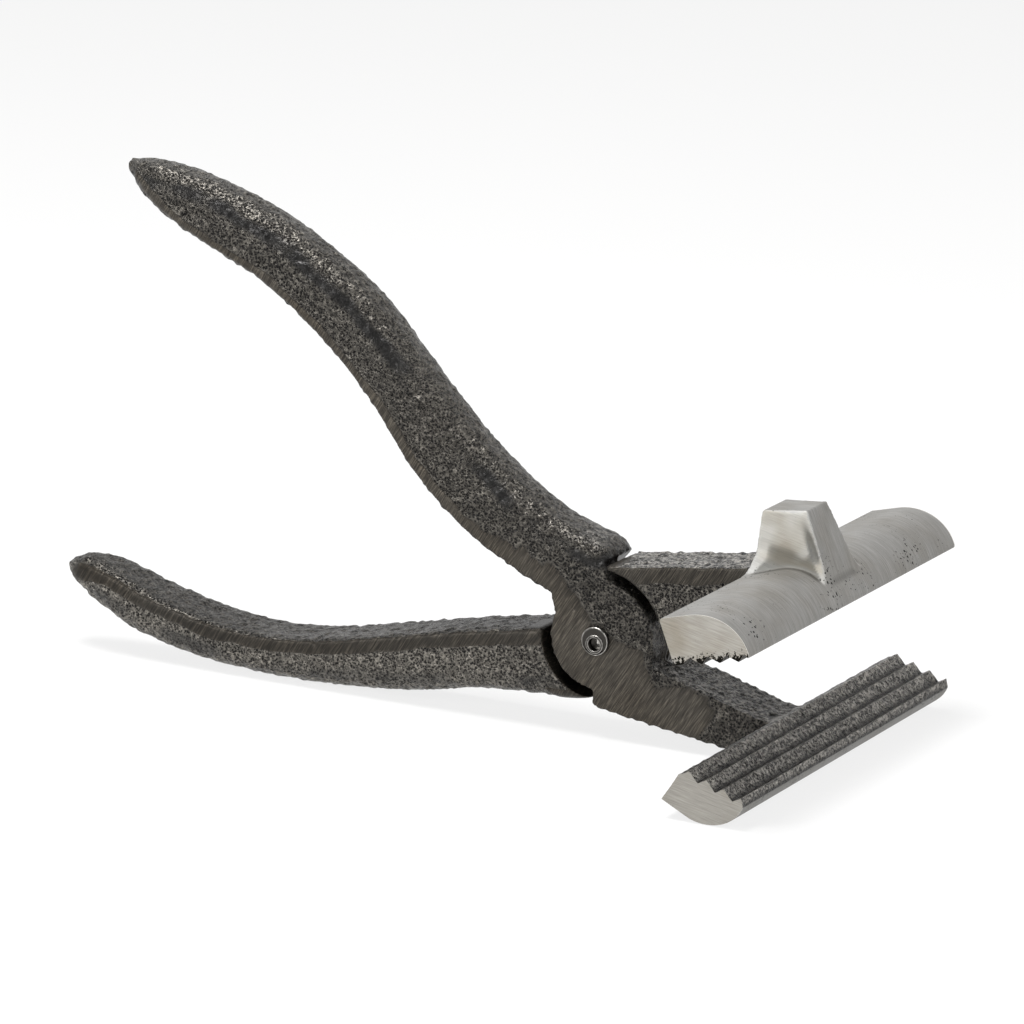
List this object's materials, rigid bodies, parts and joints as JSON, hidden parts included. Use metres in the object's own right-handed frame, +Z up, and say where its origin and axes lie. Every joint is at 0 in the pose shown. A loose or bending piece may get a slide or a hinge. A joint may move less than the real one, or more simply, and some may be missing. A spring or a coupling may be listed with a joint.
{
  "type": "canvas pliers",
  "caption": "Wide-jawed cast canvas-stretching pliers: two crossed levers on one rivet, ridged jaws that mesh, a heel on the upper jaw, shown open.",
  "frame": {"origin": "middle of the bounding box on the floor that the open tool stands on", "axes": "+X from the grips to the jaws, Y along the jaws, +Z up"},
  "size_m": [0.2214, 0.12, 0.1289],
  "materials": {
    "front_casting": "dark sand-cast skin, partly belt-ground",
    "rear_casting": "dark sand-cast skin, its jaw ground bright",
    "rivet_steel": "turned steel with a drilled, swelled end"
  },
  "bodies": {
    "rear_lever": {"rear_lever": "rear_casting", "pivot_rivet": "rivet_steel"},
    "front_lever": {"front_lever": "front_casting"}
  },
  "joints": [
    {"name": "jaw_pivot", "type": "hinge", "parent": "rear_lever", "child": "front_lever", "pos_m": [0.04548, 0, 0.02462], "axis": [0, -1, 0], "range_deg": [0, 30.5]}
  ]
}
